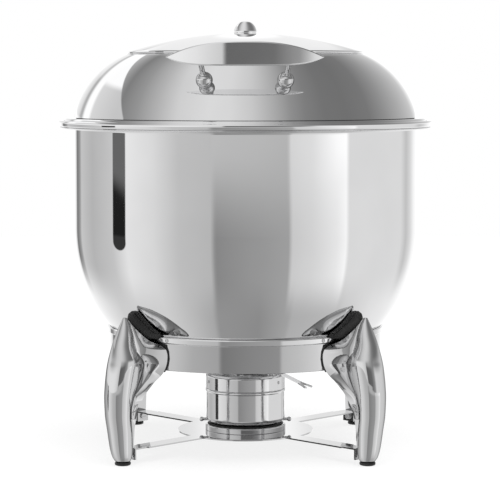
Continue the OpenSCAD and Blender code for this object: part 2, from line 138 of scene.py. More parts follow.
def lathe(name, outline, material, segments=AROUND, start=0, sweep=360, place=None, sharp=40):
    """Turns an outline of (r, z) points about the Z axis, or about place's own Z axis."""
    whole = sweep == 360
    open_chain = outline[0][0] < 1e-9 and outline[-1][0] < 1e-9
    outline = held(outline, not open_chain) if whole else outline
    turns = segments if whole else segments + 1
    points, rings = [], []
    for r, z in outline:
        if r < 1e-9:
            rings.append([len(points)] * turns)
            points.append((0, 0, z))
            continue
        rings.append(list(range(len(points), len(points) + turns)))
        for k in range(turns):
            a = math.radians(start + sweep * k / segments)
            points.append((r * math.cos(a), r * math.sin(a), z))
    pairs = [(i, i + 1) for i in range(len(rings) - 1)]
    if not open_chain:
        pairs.append((len(rings) - 1, 0))
    faces = []
    for i, j in pairs:
        for k in range(segments):
            n = (k + 1) % turns
            face = [rings[i][k], rings[i][n], rings[j][n], rings[j][k]]
            face = [v for v, other in zip(face, face[-1:] + face[:-1]) if v != other]
            if len(face) > 2:
                faces.append(face)
    if not whole:
        half = len(rings) // 2
        for k in (0, turns - 1):
            for i in range(half - 1):
                faces.append([rings[i][k], rings[i + 1][k], rings[-2 - i][k], rings[-1 - i][k]])
    piece = mesh_piece(name, points, faces, material, sharp)
    if place is not None:
        piece.data.transform(place)
    return piece


def loft(name, rings, material, sharp=40):
    """A solid through closed rings of equal length, closed at both ends."""
    count = len(rings[0])
    points = [p for ring in rings for p in ring]
    faces = [list(range(count)), list(range(len(points) - count, len(points)))]
    for k in range(len(rings) - 1):
        for i in range(count):
            j = (i + 1) % count
            base, above = k * count, (k + 1) * count
            faces.append([base + i, base + j, above + j, above + i])
    return mesh_piece(name, points, faces, material, sharp)


def joined(name, parts):
    """One object from several meshes that share a material."""
    work = bmesh.new()
    for part in parts:
        work.from_mesh(part.data)
    mesh = parts[0].data
    work.to_mesh(mesh)
    work.free()
    for part in parts[1:]:
        bpy.data.objects.remove(part)
    parts[0].name = name
    return parts[0]


def turn_z(degrees):
    return Matrix.Rotation(math.radians(degrees), 4, "Z")


def outward(direction, radius, z, side=0.0):
    """A frame whose Z axis points away from the vertical axis, in one direction."""
    lying = Matrix.Rotation(math.radians(90), 4, "Y")
    return turn_z(direction) @ Matrix.Translation((radius, side, z)) @ lying


def smooth_value(rows, column, z):
    """A column of rows at height z, along a smooth curve that doesn't overshoot."""
    xs = [row[0] for row in rows]
    ys = [row[column] for row in rows]
    k = max(i for i in range(len(xs) - 1) if xs[i] <= z or i == 0)
    slopes = [(ys[i + 1] - ys[i]) / (xs[i + 1] - xs[i]) for i in range(len(xs) - 1)]

    def tangent(i):
        if i == 0 or i == len(xs) - 1:
            return slopes[0 if i == 0 else -1]
        a, b = slopes[i - 1], slopes[i]
        return 2 * a * b / (a + b) if a * b > 0 else 0

    h = xs[k + 1] - xs[k]
    t = min(max((z - xs[k]) / h, 0), 1)
    return (
        (2 * t**3 - 3 * t**2 + 1) * ys[k] + (t**3 - 2 * t**2 + t) * h * tangent(k)
        + (3 * t**2 - 2 * t**3) * ys[k + 1] + (t**3 - t**2) * h * tangent(k + 1)
    )


def place_piece(piece, body, slot, *nodes):
    """Ties a built piece to its CAD nodes, which it hides, and to its body. The slot argument is not used.
    """
    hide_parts(*nodes)
    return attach(piece, body)


# Materials ------------------------------------------------------------------


class Graph:
    """A node tree, with short calls that add and join nodes."""

    def __init__(self, tree):
        self.tree = tree
        tree.nodes.clear()

    def add(self, kind, inputs=None, **settings):
        node = self.tree.nodes.new("ShaderNode" + kind)
        for key, value in settings.items():
            setattr(node, key, value)
        for key, value in (inputs or {}).items():
            if isinstance(value, bpy.types.NodeSocket):
                self.tree.links.new(value, node.inputs[key])
            else:
                node.inputs[key].default_value = value
        return node

    def math(self, operation, a, b=0.0):
        return self.add("Math", {0: a, 1: b}, operation=operation).outputs[0]

    def remap(self, value, low, high, to_low=0.0, to_high=1.0, kind="LINEAR"):
        inputs = {"Value": value, "From Min": low, "From Max": high, "To Min": to_low, "To Max": to_high}
        return self.add("MapRange", inputs, interpolation_type=kind).outputs["Result"]

    def ease(self, value, low, high):
        return self.remap(value, low, high, kind="SMOOTHSTEP")

    def mix(self, a, b, factor):
        step = self.math("MULTIPLY", self.math("SUBTRACT", b, a), factor)
        return self.math("ADD", a, step)

    def length(self, a, b):
        return self.math("SQRT", self.math("ADD", self.math("MULTIPLY", a, a), self.math("MULTIPLY", b, b)))

    def shift(self, a, b, slope, start=0.0):
        """The sum of a and b's rise above start, times slope."""
        return self.math("ADD", a, self.math("MULTIPLY", self.math("SUBTRACT", b, start), slope))

    def noise(self, vector, scale, detail=3.0, roughness=0.5):
        inputs = {"Vector": vector, "Scale": scale, "Detail": detail, "Roughness": roughness}
        return self.add("TexNoise", inputs).outputs["Fac"]


def new_material(name):
    material = bpy.data.materials.new(name)
    material.use_nodes = True
    return material, Graph(material.node_tree)


def steel(name, grey, low_rough, high_rough, lines=0.0, waves=0.000012, lines_scale=(1, 1, 40),
          edge=1.0):
    """Metal with slight waves, fine polishing lines across Z and a roughness that drifts.
    An edge below 1 dims what is seen at a glancing angle."""
    material, g = new_material(name)
    place = g.add("TexCoord").outputs["Object"]
    stretched = g.add("Mapping", {"Vector": place, "Scale": lines_scale}).outputs[0]
    drift = g.noise(place, 18, 2)
    fine = g.noise(stretched, 60, 4, 0.7)
    tint = g.remap(drift, 0.3, 0.7, grey - 0.015, grey + 0.015)
    colour = g.add("CombineColor", {0: tint, 1: tint, 2: g.math("MULTIPLY", tint, 1.006)}).outputs[0]
    smear = g.math("ADD", g.math("MULTIPLY", drift, 0.7), g.math("MULTIPLY", fine, 0.3))
    rough = g.remap(smear, 0.35, 0.65, low_rough, high_rough)
    wave = g.add("Bump", {"Height": g.noise(place, 14, 1), "Distance": waves, "Strength": 1.0})
    line = g.add("Bump", {"Height": fine, "Distance": lines, "Strength": 1.0, "Normal": wave.outputs[0]})
    shader = g.add("BsdfPrincipled", {"Base Color": colour, "Roughness": rough, "Metallic": 1.0,
                                      "Specular Tint": (edge, edge, edge, 1), "Normal": line.outputs[0]})
    g.add("OutputMaterial", {"Surface": shader.outputs[0]})
    return material


def rubber(name, grey):
    """Black moulded rubber with a fine matt grain and a little dust in it."""
    material, g = new_material(name)
    place = g.add("TexCoord").outputs["Object"]
    grain = g.noise(place, 1400, 2, 0.6)
    dust = g.noise(place, 60, 4, 0.65)
    tone = g.remap(dust, 0.4, 0.75, grey, grey * 2.2)
    colour = g.add("CombineColor", {0: tone, 1: tone, 2: tone}).outputs[0]
    bump = g.add("Bump", {"Height": grain, "Distance": 0.00008, "Strength": 0.6})
    rough = g.remap(dust, 0.3, 0.7, 0.42, 0.58)
    shader = g.add("BsdfPrincipled", {"Base Color": colour, "Roughness": rough, "Normal": bump.outputs[0],
                                      "Specular IOR Level": 0.45})
    g.add("OutputMaterial", {"Surface": shader.outputs[0]})
    return material


def nylon(name):
    """Milky plastic with faint moulding marks."""
    material, g = new_material(name)
    place = g.add("TexCoord").outputs["Object"]
    clouds = g.noise(place, 120, 3)
    tone = g.remap(clouds, 0.3, 0.7, 0.68, 0.78)
    colour = g.add("CombineColor", {0: tone, 1: tone, 2: g.math("MULTIPLY", tone, 0.95)}).outputs[0]
    bump = g.add("Bump", {"Height": clouds, "Distance": 0.00005, "Strength": 0.5})
    shader = g.add("BsdfPrincipled", {"Base Color": colour, "Roughness": 0.42, "Normal": bump.outputs[0]})
    g.add("OutputMaterial", {"Surface": shader.outputs[0]})
    return material


MIRROR = steel("mirror_steel", 0.86, 0.016, 0.034, lines=0.0000008)
LID_MIRROR = steel("lid_mirror_steel", 0.86, 0.018, 0.04, lines=0.0000008)
SATIN = steel("satin_steel", 0.70, 0.22, 0.34, lines=0.00002, lines_scale=(1, 1, 90))
STEM = steel("stem_steel", 0.72, 0.03, 0.06, lines=0.000001, edge=0.2)
HANDLE = steel("handle_steel", 0.86, 0.03, 0.06, lines=0.000001, lines_scale=(40, 1, 1))
CASTING = steel("polished_casting", 0.74, 0.03, 0.06, lines=0.000001, waves=0.000008,
                lines_scale=(2, 2, 5), edge=0.25)
FRAME = steel("frame_steel", 0.66, 0.03, 0.07, lines=0.000001)
PRESSED = steel("pressed_steel", 0.82, 0.06, 0.12, lines=0.000002, waves=0.000025, lines_scale=(3, 3, 20))
FASTENER = steel("fastener_steel", 0.66, 0.16, 0.28, lines=0.00001, lines_scale=(12, 12, 12))
CAN = steel("can_metal", 0.72, 0.20, 0.32, lines=0.00001, lines_scale=(1, 1, 60))
RUBBER = rubber("black_rubber", 0.012)
NYLON = nylon("natural_nylon")


# Bowl and pot ---------------------------------------------------------------


def make_bowl():
    sheet = 0.0015
    top = RIM_LOW
    flange_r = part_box("bowl_flange")[1].x
    outer = arc(CURVE_X, CURVE_Z, CURVE_R, 0, -CURVE_END, 44)
    outer += arc(TURN_X, TURN_Z, TURN_R, -CURVE_END - 2, -90, 24)
    inner = arc(TURN_X, TURN_Z, TURN_R - sheet, -90, -CURVE_END - 2, 24)
    inner += arc(CURVE_X, CURVE_Z, CURVE_R - sheet, -CURVE_END, 0, 44)
    under = arc(BOWL_R + 0.0025, top - sheet - 0.0025, 0.0025, 90, 180, 5)
    over = arc(BOWL_R + 0.0025, top - 0.004, 0.004, 180, 90, 6)
    outline = [(0, BOWL_FLOOR + sheet)] + inner + over + [(flange_r - 0.0006, top)]
    outline += [(flange_r, top - sheet / 2), (flange_r - 0.0006, top - sheet)]
    outline += under + outer + [(0, BOWL_FLOOR)]
    place_piece(lathe("bowl_shell", outline, MIRROR), "bowl", "bowl_steel", "water_bowl", "bowl_base",
                "bowl_flange")


def make_rim():
    inner = 0.1995
    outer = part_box("rim_band")[1].x
    outline = rounded([(inner, RIM_LOW, 0.0004), (outer, RIM_LOW, 0.0026), (outer, RIM_TOP, 0.0022),
                       (inner, RIM_TOP, 0.0008)], 7)
    place_piece(lathe("bowl_rim_band", outline, MIRROR), "bowl", "bowl_steel", "rim_band")


def make_pot():
    low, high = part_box("soup_pot")
    sheet, corner = 0.0012, 0.016
    top_r = BOWL_R - 0.010
    curve = CURVE_R - 0.010
    end = -math.degrees(math.asin((CURVE_Z - low.z - 0.010) / curve))
    wall = arc(CURVE_X, CURVE_Z, curve, 0, end, 30)
    floor_r = wall[-1][0] - corner
    outer = wall + [(floor_r + 0.006, low.z + 0.0018), (floor_r, low.z)]
    inner = arc(CURVE_X, CURVE_Z, curve - sheet, 0, end, 30)
    inner += [(floor_r + 0.0052, low.z + 0.003), (floor_r - 0.0008, low.z + sheet)]
    under = arc(top_r + 0.002, high.z - sheet - 0.002, 0.002, 90, 180, 5)
    over = arc(top_r + 0.002, high.z - 0.0032, 0.0032, 180, 90, 5)
    lip = [(high.x - 0.0005, high.z), (high.x, high.z - sheet / 2), (high.x - 0.0005, high.z - sheet)]
    outline = [(0, low.z + sheet)] + inner[::-1] + over + lip + under + outer + [(0, low.z)]
    place_piece(lathe("soup_pot_shell", outline, SATIN), "pot", "pot_steel", "soup_pot")


# Lid ------------------------------------------------------------------------


def leaf_profile(inset, foot_z):
    """One face of a leaf, from its foot up to its hub, set in from the outermost face."""
    radius = SHOULDER_R - inset
    low = math.degrees(math.asin((foot_z - SHOULDER_Z) / radius))
    high = math.degrees(math.acos((CROWN_R - inset - SHOULDER_X) / radius))
    crown = CROWN_CURVE - inset
    join = math.degrees(math.acos((CROWN_R - inset) / crown))
    hub = math.degrees(math.acos(HUB_R / crown))
    shoulder = arc(SHOULDER_X, SHOULDER_Z, radius, low, high - 1.5, 60)
    return shoulder + arc(0, CROWN_BASE, crown, join + 0.6, hub, 24)


def make_leaf(name, node, body, inset, middle):
    foot_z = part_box(node)[0].z
    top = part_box(node)[1].z
    outer = leaf_profile(inset, foot_z)
    inner = leaf_profile(inset + LEAF_T, foot_z)
    start = middle - LEAF_ANGLE / 2
    shell = lathe(name, outer + inner[::-1], LID_MIRROR, 260, start, LEAF_ANGLE)
    hole = PIVOT_R + 0.0001
    hub = lathe(name + "_hub", rounded([(hole, top - LEAF_T, 0), (HUB_R + 0.0005, top - LEAF_T, 0.0004),
                                        (HUB_R + 0.0005, top, 0.0004), (hole, top, 0)]), LID_MIRROR, 96)
    place_piece(joined(name, [shell, hub]), body, "lid_steel", node)


def make_lid():
    make_leaf("lid_rear_leaf", "rear_lid_shell", "lid", LEAF_STEP, FRONT - 180)
    make_leaf("lid_front_leaf", "front_lid_shell", "front_leaf", 0, FRONT)
    low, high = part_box("lid_base_ring")
    inner = SHOULDER_X + math.sqrt((SHOULDER_R - LEAF_STEP - LEAF_T) ** 2 - (high.z - SHOULDER_Z) ** 2)
    ring = rounded([(inner, low.z, 0.0005), (high.x, low.z, 0.0012), (high.x, high.z, 0.003),
                    (inner, high.z, 0.0005)], 8)
    place_piece(lathe("lid_base_band", ring, LID_MIRROR), "lid", "lid_steel", "lid_base_ring")
    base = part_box("lid_cap")[1].z - CAP_CURVE
    edge = math.degrees(math.acos((CAP_R - 0.0008) / CAP_CURVE))
    hole = math.degrees(math.acos((PIVOT_R + 0.0001) / CAP_CURVE))
    cap = arc(0, base, CAP_CURVE, edge, hole, 48)
    under = arc(0, base, CAP_CURVE - CAP_T, hole, edge - 0.03, 48)
    lip_z = under[-1][1]
    cap = cap + under[:-2] + [(CAP_R - 0.0012, lip_z - 0.0007), (CAP_R - 0.0005, lip_z - 0.0009),
                              (CAP_R, lip_z - 0.0003), (CAP_R, lip_z + 0.0008)]
    place_piece(lathe("lid_crown_cap", cap, LID_MIRROR), "lid", "lid_steel", "lid_cap")
    low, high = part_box("lid_knob")
    radius = high.x
    centre = high.z - radius
    knob = [(0, low.z), (radius - 0.004, low.z), (radius - 0.0032, low.z + 0.0005)]
    knob += arc(0, centre, radius, -9, 90, 24)
    knob[-1] = (0, high.z)
    place_piece(lathe("lid_knob_dome", knob, HANDLE, 96), "lid", "lid_steel", "lid_knob")


def make_handle():
    low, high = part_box("handle_plate")
    half = (high.x - low.x) / 2
    inner, outer = 0.195, -low.y
    tip_z, rise, drop = 0.427, 0.0153, 0.0086
    edge_r = (outer - inner) / 2
    rings = []
    steps = 120
    for i in range(steps + 1):
        u = math.sin(math.pi * (i / steps - 0.5))
        x = u * (half - 0.0003)
        top = tip_z + rise * (1 - abs(u) ** 2.6) + 0.0004
        bottom = tip_z - drop * (1 - abs(u) ** 5) - 0.0004
        middle = (top + bottom) / 2
        spare = min(edge_r, (top - bottom) / 2)
        section = arc(0, top - spare, edge_r, 0, 180, 8) + arc(0, bottom + spare, edge_r, 180, 360, 8)
        side = [bottom + spare + (top - bottom - 2 * spare) * k / 6 for k in (0.1, 1, 3, 5, 5.9)]
        left = [(-edge_r, z) for z in side[::-1]]
        right = [(edge_r, z) for z in side]
        section = section[:9] + left + section[9:] + right
        ring = []
        for depth, z in section:
            radius = inner + edge_r + depth * 0.999
            squeezed = z if spare == edge_r else middle + (z - middle) * spare / edge_r
            ring.append((x, -math.sqrt(radius**2 - x**2), squeezed))
        rings.append(ring)
    place_piece(loft("handle_plate_lens", rings, HANDLE), "front_leaf", "handle_steel", "handle_plate")
    tilt, azimuth, foot_r, ball_r, rod_r = 50, 13.5, 0.172, 0.0086, 0.0026
    foot_z = SHOULDER_Z + math.sqrt(SHOULDER_R**2 - (foot_r - SHOULDER_X) ** 2)
    for name, side in (("left", -1), ("right", 1)):
        place = (turn_z(FRONT + side * azimuth) @ Matrix.Translation((foot_r, 0, foot_z))
                 @ Matrix.Rotation(math.radians(90 - tilt), 4, "Y"))
        length = (inner + 0.0004 - foot_r) / math.sin(math.radians(90 - tilt))
        ferrule = 2 * ball_r - 0.0016
        rod = [(0, ball_r), (rod_r, ball_r), (rod_r + 0.0012, ferrule), (rod_r + 0.0012, ferrule + 0.0006),
               (rod_r, ferrule + 0.0014), (rod_r, length - 0.001), (rod_r - 0.0004, length), (0, length)]
        rod_piece = lathe("handle_stem_" + name, rod, STEM, 48, place=place)
        place_piece(rod_piece, "front_leaf", "handle_steel", "handle_rod_" + name)
        centre = ball_r - 0.001
        ball = arc(0, centre, ball_r, -90, 90, 40)
        ball[0] = (0, centre - ball_r)
        ball[-1] = (0, centre + ball_r)
        ball_piece = lathe("handle_sphere_" + name, ball, STEM, 64, place=place)
        place_piece(ball_piece, "front_leaf", "handle_steel", "handle_ball_" + name)


# Legs, pads and rings -------------------------------------------------------

# One leg's stations: height, outer radius, the horn's half width, the length
# of its inner half, the inner face's radius and half width, the groove's depth
# and how hollow the side is between the groove and the inner face
LEG = [
    (0.0035, 0.1895, 0.0076, 0.0074, 0.1745, 0.0040, 0.0000, 2.0),
    (0.0080, 0.1928, 0.0102, 0.0100, 0.1726, 0.0050, 0.0000, 2.0),
    (0.0180, 0.1960, 0.0122, 0.0118, 0.1718, 0.0058, 0.0000, 2.0),
    (0.0360, 0.1990, 0.0137, 0.0120, 0.1712, 0.0064, 0.0000, 1.9),
    (0.0560, 0.2020, 0.0148, 0.0112, 0.1692, 0.0092, 0.0004, 1.3),
    (0.0720, 0.2025, 0.0156, 0.0155, 0.1638, 0.0130, 0.0012, 0.80),
    (0.0860, 0.2014, 0.0161, 0.0225, 0.1568, 0.0196, 0.0022, 0.72),
    (0.0980, 0.1996, 0.0165, 0.0258, 0.1517, 0.0280, 0.0030, 0.72),
    (0.1050, 0.1982, 0.0167, 0.0262, 0.1517, 0.0314, 0.0034, 0.80),
    (0.1100, 0.1970, 0.0164, 0.0232, 0.1517, 0.0326, 0.0038, 1.15),
    (0.1155, 0.1957, 0.0152, 0.0184, 0.1517, 0.0330, 0.0044, 1.70),
    (0.1210, 0.1943, 0.0133, 0.0142, 0.1517, 0.0316, 0.0048, 2.30),
    (0.1257, 0.1930, 0.0117, 0.0118, 0.1550, 0.0292, 0.0046, 2.70),
    (0.1310, 0.1913, 0.0104, 0.0104, 0.1604, 0.0180, 0.0042, 2.80),
    (0.1370, 0.1887, 0.0091, 0.0092, 0.1650, 0.0120, 0.0030, 2.40),
    (0.1440, 0.1856, 0.0070, 0.0070, 0.1699, 0.0070, 0.0016, 2.00),
    (0.1510, 0.1823, 0.0041, 0.0040, 0.1743, 0.0034, 0.0006, 1.50),
    (0.1555, 0.1803, 0.0016, 0.0016, 0.1766, 0.0012, 0.0000, 1.50),
]


def leg_half(z):
    """Half of a leg's cross-section at height z, from its outermost point to its inner middle."""
    outer, width, reach, face, flare, groove, power = (smooth_value(LEG, c, z) for c in range(1, 8))
    centre = outer - width
    crease = math.atan2(reach, width)
    if groove <= 0.0002:
        crease = math.radians(62)
    points = [(centre + width * math.cos(math.radians(a)), width * math.sin(math.radians(a)))
              for a in range(0, 90, 9)]
    for k in range(9):
        a = crease * k / 8
        points.append((centre - reach * math.sin(a), width * math.cos(a)))
    start_r, start_t = points[-1]
    edge = math.sqrt(face**2 - flare**2)
    dip_r = start_r - min(0.0035, 0.3 * max(start_r - edge, 0.001))
    dip_t = max(start_t - groove, 0.0045 if z < 0.150 else 0.0006)
    dip_t = min(dip_t, start_t)
    if groove > 0.0002:
        points.append(((start_r + dip_r) / 2, dip_t + (start_t - dip_t) * 0.22))
        points.append((dip_r, dip_t))
    else:
        dip_r, dip_t = start_r, start_t
    for k in range(1, 13):
        s = k / 12
        grown = s**power if flare >= dip_t else s**2
        points.append((dip_r + (edge - dip_r) * s, dip_t + (flare - dip_t) * grown))
    for k in range(1, 7):
        t = flare * (1 - k / 6)
        points.append((math.sqrt(face**2 - t**2), t))
    return points


def make_leg(name, direction):
    low, high = LEG[0][0], LEG[-1][0]
    levels = [low, low + 0.0006, low + 0.0016]
    levels += [0.008 + (high - 0.008) * k / 110 for k in range(111)]
    rings = []
    insets = [0.90, 0.96, 0.99] + [1.0] * (len(levels) - 3)
    for z, inset in zip(levels, insets):
        half = leg_half(z)
        middle = (half[0][0] + half[-1][0]) / 2
        half = [(middle + (r - middle) * inset, t * inset) for r, t in half]
        ring = [(r, t, z) for r, t in half] + [(r, -t, z) for r, t in half[-2:0:-1]]
        rings.append(ring)
    most = max(len(ring) for ring in rings)
    rings = [ring if len(ring) == most else evened(ring, most) for ring in rings]
    piece = loft("leg_horn_" + name, rings, CASTING, 38)
    piece.data.transform(turn_z(direction))
    place_piece(piece, "stand", "leg_casting", "leg_" + name)


def evened(ring, most):
    """A ring with extra points at its crease, so that every ring has as many."""
    half = len(ring) // 2
    extra = (most - len(ring)) // 2
    crease = 18
    first = ring[: crease + 1] + [ring[crease]] * extra + ring[crease + 1: half + 1]
    mirror = [(r, -t, z) for r, t, z in first[-2:0:-1]]
    return first + mirror


# The pad's outline: height along the bowl's curve, and half width there
PAD = [(-0.0130, 0.0285), (-0.0105, 0.0230), (-0.0055, 0.0165), (0.0027, 0.0116), (0.0120, 0.0066),
       (0.0195, 0.0034)]


def make_pads():
    """Leaf-shaped rubber pads, thickest along the middle, between the legs' tops and the bowl."""
    lean, gap, edge, crown = 36, 0.0002, 0.0026, 0.0072
    low, inner_low, high = -0.0118, -0.0070, PAD[-1][0]
    for name, direction in LEG_DIRECTIONS.items():
        rings = []
        for i in range(33):
            along = low + (high - low) * i / 32
            width = smooth_value(PAD, 1, along)
            end = max(min(1, (high - along) / 0.006, (along - low) / 0.004), 0) ** 0.5
            ring = []
            for k in list(range(25)) + list(range(24, -1, -1)):
                u = k / 12 - 1
                outer = len(ring) >= 25
                depth = gap + (edge + crown * math.sqrt(1 - u * u) * end if outer else 0)
                at = along if outer else max(along, inner_low)
                a = math.radians(at / CURVE_R * 180 / math.pi - lean)
                radius = CURVE_X + (CURVE_R + depth) * math.cos(a)
                z = CURVE_Z + (CURVE_R + depth) * math.sin(a)
                side = width * u
                ring.append((math.sqrt(radius**2 - side**2), side, z))
            rings.append(ring)
        pad = loft("cradle_leaf_" + name, rings, RUBBER)
        pad.data.transform(turn_z(direction))
        place_piece(pad, "stand", "black_rubber", "cradle_pad_" + name)


def make_feet():
    low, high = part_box("foot_front_left")
    foot_r = 0.182
    radius = (high.x - low.x) / 2
    outline = [(0, 0), (radius - 0.0016, 0), (radius - 0.0004, 0.0005), (radius, 0.0014),
               (radius, high.z - 0.0008), (radius - 0.0006, high.z), (0, high.z)]
    for name, direction in LEG_DIRECTIONS.items():
        place = turn_z(direction) @ Matrix.Translation((foot_r, 0, 0))
        foot = lathe("foot_pad_" + name, outline, RUBBER, 64, place=place)
        place_piece(foot, "stand", "black_rubber", "foot_" + name)


def make_rings():
    low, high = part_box("support_ring")
    inner = high.x - 0.003
    band = rounded([(inner, low.z, 0.0006), (high.x, low.z, 0.0007), (high.x, high.z, 0.0007),
                    (inner, high.z, 0.0006)])
    place_piece(lathe("support_band", band, FRAME), "stand", "frame_steel", "support_ring")
    low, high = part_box("seat_ring")
    lip = TURN_R + 0.0003
    start = -math.degrees(math.asin((TURN_Z - low.z) / lip))
    end = -math.degrees(math.asin((TURN_Z - high.z) / lip))
    seat = arc(TURN_X, TURN_Z, lip, start, end, 10)
    seat += arc(high.x - 0.0014, high.z - 0.0014, 0.0014, 90, 0, 6)
    seat += arc(high.x - 0.0010, low.z + 0.0010, 0.0010, 0, -90, 4)
    place_piece(lathe("seat_band", seat, MIRROR), "stand", "frame_steel", "seat_ring")


def slotted_head(name, radius, height, place, material):
    """A domed screw head with a straight slot cut across it."""
    rings = [(0.0, radius), (height * 0.35, radius), (height * 0.8, radius * 0.86), (height, radius * 0.5)]
    outline = [(0, -0.0004)] + [(radius, -0.0004)] + [(r, z) for z, r in rings] + [(0, height * 1.04)]
    head = lathe(name, outline, material, 40)
    width, depth = radius * 0.12, height * 0.45
    for vertex in head.data.vertices:
        if abs(vertex.co.x) < width * 1.6 and vertex.co.z > height * 0.3:
            vertex.co.z -= depth
    head.data.transform(place)
    return head


def make_screws():
    low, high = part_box("seat_ring")
    middle = (low.z + high.z) / 2
    heads = []
    for direction in LEG_DIRECTIONS.values():
        for side in (-12.5, 12.5):
            place = outward(direction + side, high.x, middle)
            heads.append(slotted_head("seat_screw", 0.0021, 0.0011, place, FASTENER))
    place_piece(joined("seat_screw_heads", heads), "stand", "fastener_steel", "seat_screws")
    heads = []
    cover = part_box("burner_cover")
    for direction in (-155, -35, 85):
        place = outward(direction, cover[1].x, (cover[0].z + cover[1].z) / 2)
        heads.append(slotted_head("cover_screw", 0.0018, 0.0009, place, FASTENER))
    place_piece(joined("cover_screw_heads", heads), "burner", "fastener_steel", "cover_screws")


# Base plate and burner ------------------------------------------------------


def make_collar():
    low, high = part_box("burner_collar")
    inner = 0.0421
    outline = rounded([(inner, low.z, 0), (high.x, low.z, 0.0004), (high.x, high.z, 0.0010),
                       (inner, high.z, 0.0006)])
    place_piece(lathe("burner_socket_ring", outline, FRAME, 128), "stand", "frame_steel", "burner_collar")


def make_burner():
    low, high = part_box("burner_foot")
    foot = rounded([(high.x - 0.005, low.z, 0.0004), (high.x, low.z, 0.0012), (high.x, high.z, 0.0004),
                    (high.x - 0.005, high.z, 0.0004)])
    place_piece(lathe("burner_rubber_foot", foot, RUBBER, 128), "burner", "black_rubber", "burner_foot")
    low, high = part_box("burner_cup")
    radius, corner, sheet = high.x - 0.001, 0.007, 0.001
    outer = arc(radius - corner, low.z + corner, corner, -90, 0, 16)
    inner = arc(radius - corner, low.z + corner, corner - sheet, 0, -90, 16)
    bead = [(radius, high.z - 0.0040), (radius + 0.0006, high.z - 0.0034), (radius + 0.001, high.z - 0.0026),
            (radius + 0.001, high.z - 0.0016), (radius + 0.0006, high.z - 0.0006), (radius, high.z)]
    cup = [(0, low.z)] + outer + bead + [(radius - sheet, high.z)] + inner + [(0, low.z + sheet)]
    place_piece(lathe("burner_cup_shell", cup, PRESSED, 192), "burner", "burner_steel", "burner_cup")
    low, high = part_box("burner_cover")
    radius, edge, mouth = high.x, 0.003, 0.015
    outer = arc(radius - edge, high.z - edge, edge, 0, 90, 10)
    inner = arc(radius - edge, high.z - edge, edge - sheet, 90, 0, 10)
    cover = [(radius - sheet, low.z), (radius, low.z)] + outer
    cover += [(mouth + 0.001, high.z), (mouth, high.z - 0.0005), (mouth + 0.0006, high.z - sheet)] + inner
    place_piece(lathe("burner_cover_shell", cover, PRESSED, 192), "burner", "burner_steel", "burner_cover")
    lugs = []
    neck, ball = 0.0016, 0.0026
    profile = [(0, -0.0030), (neck, -0.0030), (neck, 0.0020)] + arc(0, 0.0046, ball, -50, 90, 12)
    profile[-1] = (0, 0.0046 + ball)
    for direction in (0, 180):
        place = outward(direction, radius - 0.0006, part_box("burner_cup")[0].z + 0.0025)
        lugs.append(lathe("lug", profile, PRESSED, 32, place=place))
    place_piece(joined("burner_side_lugs", lugs), "burner", "burner_steel", "burner_lugs")
    low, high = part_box("fuel_can")
    radius, well = high.x, 0.014
    can = [(0, low.z + 0.001), (radius - 0.003, low.z + 0.001), (radius - 0.002, low.z),
           (radius - 0.0004, low.z + 0.0004), (radius, low.z + 0.0014), (radius - 0.0008, low.z + 0.0026),
           (radius - 0.0008, high.z - 0.0026), (radius, high.z - 0.0014), (radius - 0.0004, high.z - 0.0003),
           (radius - 0.0018, high.z), (radius - 0.003, high.z - 0.0015), (well + 0.001, high.z - 0.0015),
           (well, high.z - 0.0025), (well, high.z - 0.0072), (0, high.z - 0.0072)]
    place_piece(lathe("fuel_can_body", can, CAN, 128), "burner", "fuel_can_metal", "fuel_can")


def carry_over():
    """CAD nodes whose shape is right keep it, with finished materials."""
    finishes = {"fastener_steel": FASTENER, "frame_steel": FRAME, "burner_steel": PRESSED,
                "black_rubber": RUBBER, "washer_plastic": NYLON}
    slots = {part["node"]: part["material_slot"] for part in frame["record"]["subparts"]}
    for node, piece in frame["nodes"].items():
        if piece.hide_render:
            continue
        piece.data.materials.clear()
        piece.data.materials.append(finishes[slots[node]])


# Studio ---------------------------------------------------------------------


def tone(grey):
    """World brightness whose reflection in the steel shows as this grey, from 0 to 255."""
    return ((grey / 255 + 0.055) / 1.055) ** 2.4 / 0.86


def band(g, azimuth, stops):
    """Brightness across the studio, as straight steps between (angle, grey) stops."""
    ramp = g.add("ValToRGB", {"Fac": g.remap(azimuth, -90, 90)})
    elements = ramp.color_ramp.elements
    elements.remove(elements[1])
    for k, (angle, grey) in enumerate(stops):
        element = elements.new((angle + 90) / 180) if k else elements[0]
        element.position = (angle + 90) / 180
        level = tone(grey)
        element.color = (level, level, level, 1)
    return ramp.outputs["Color"]


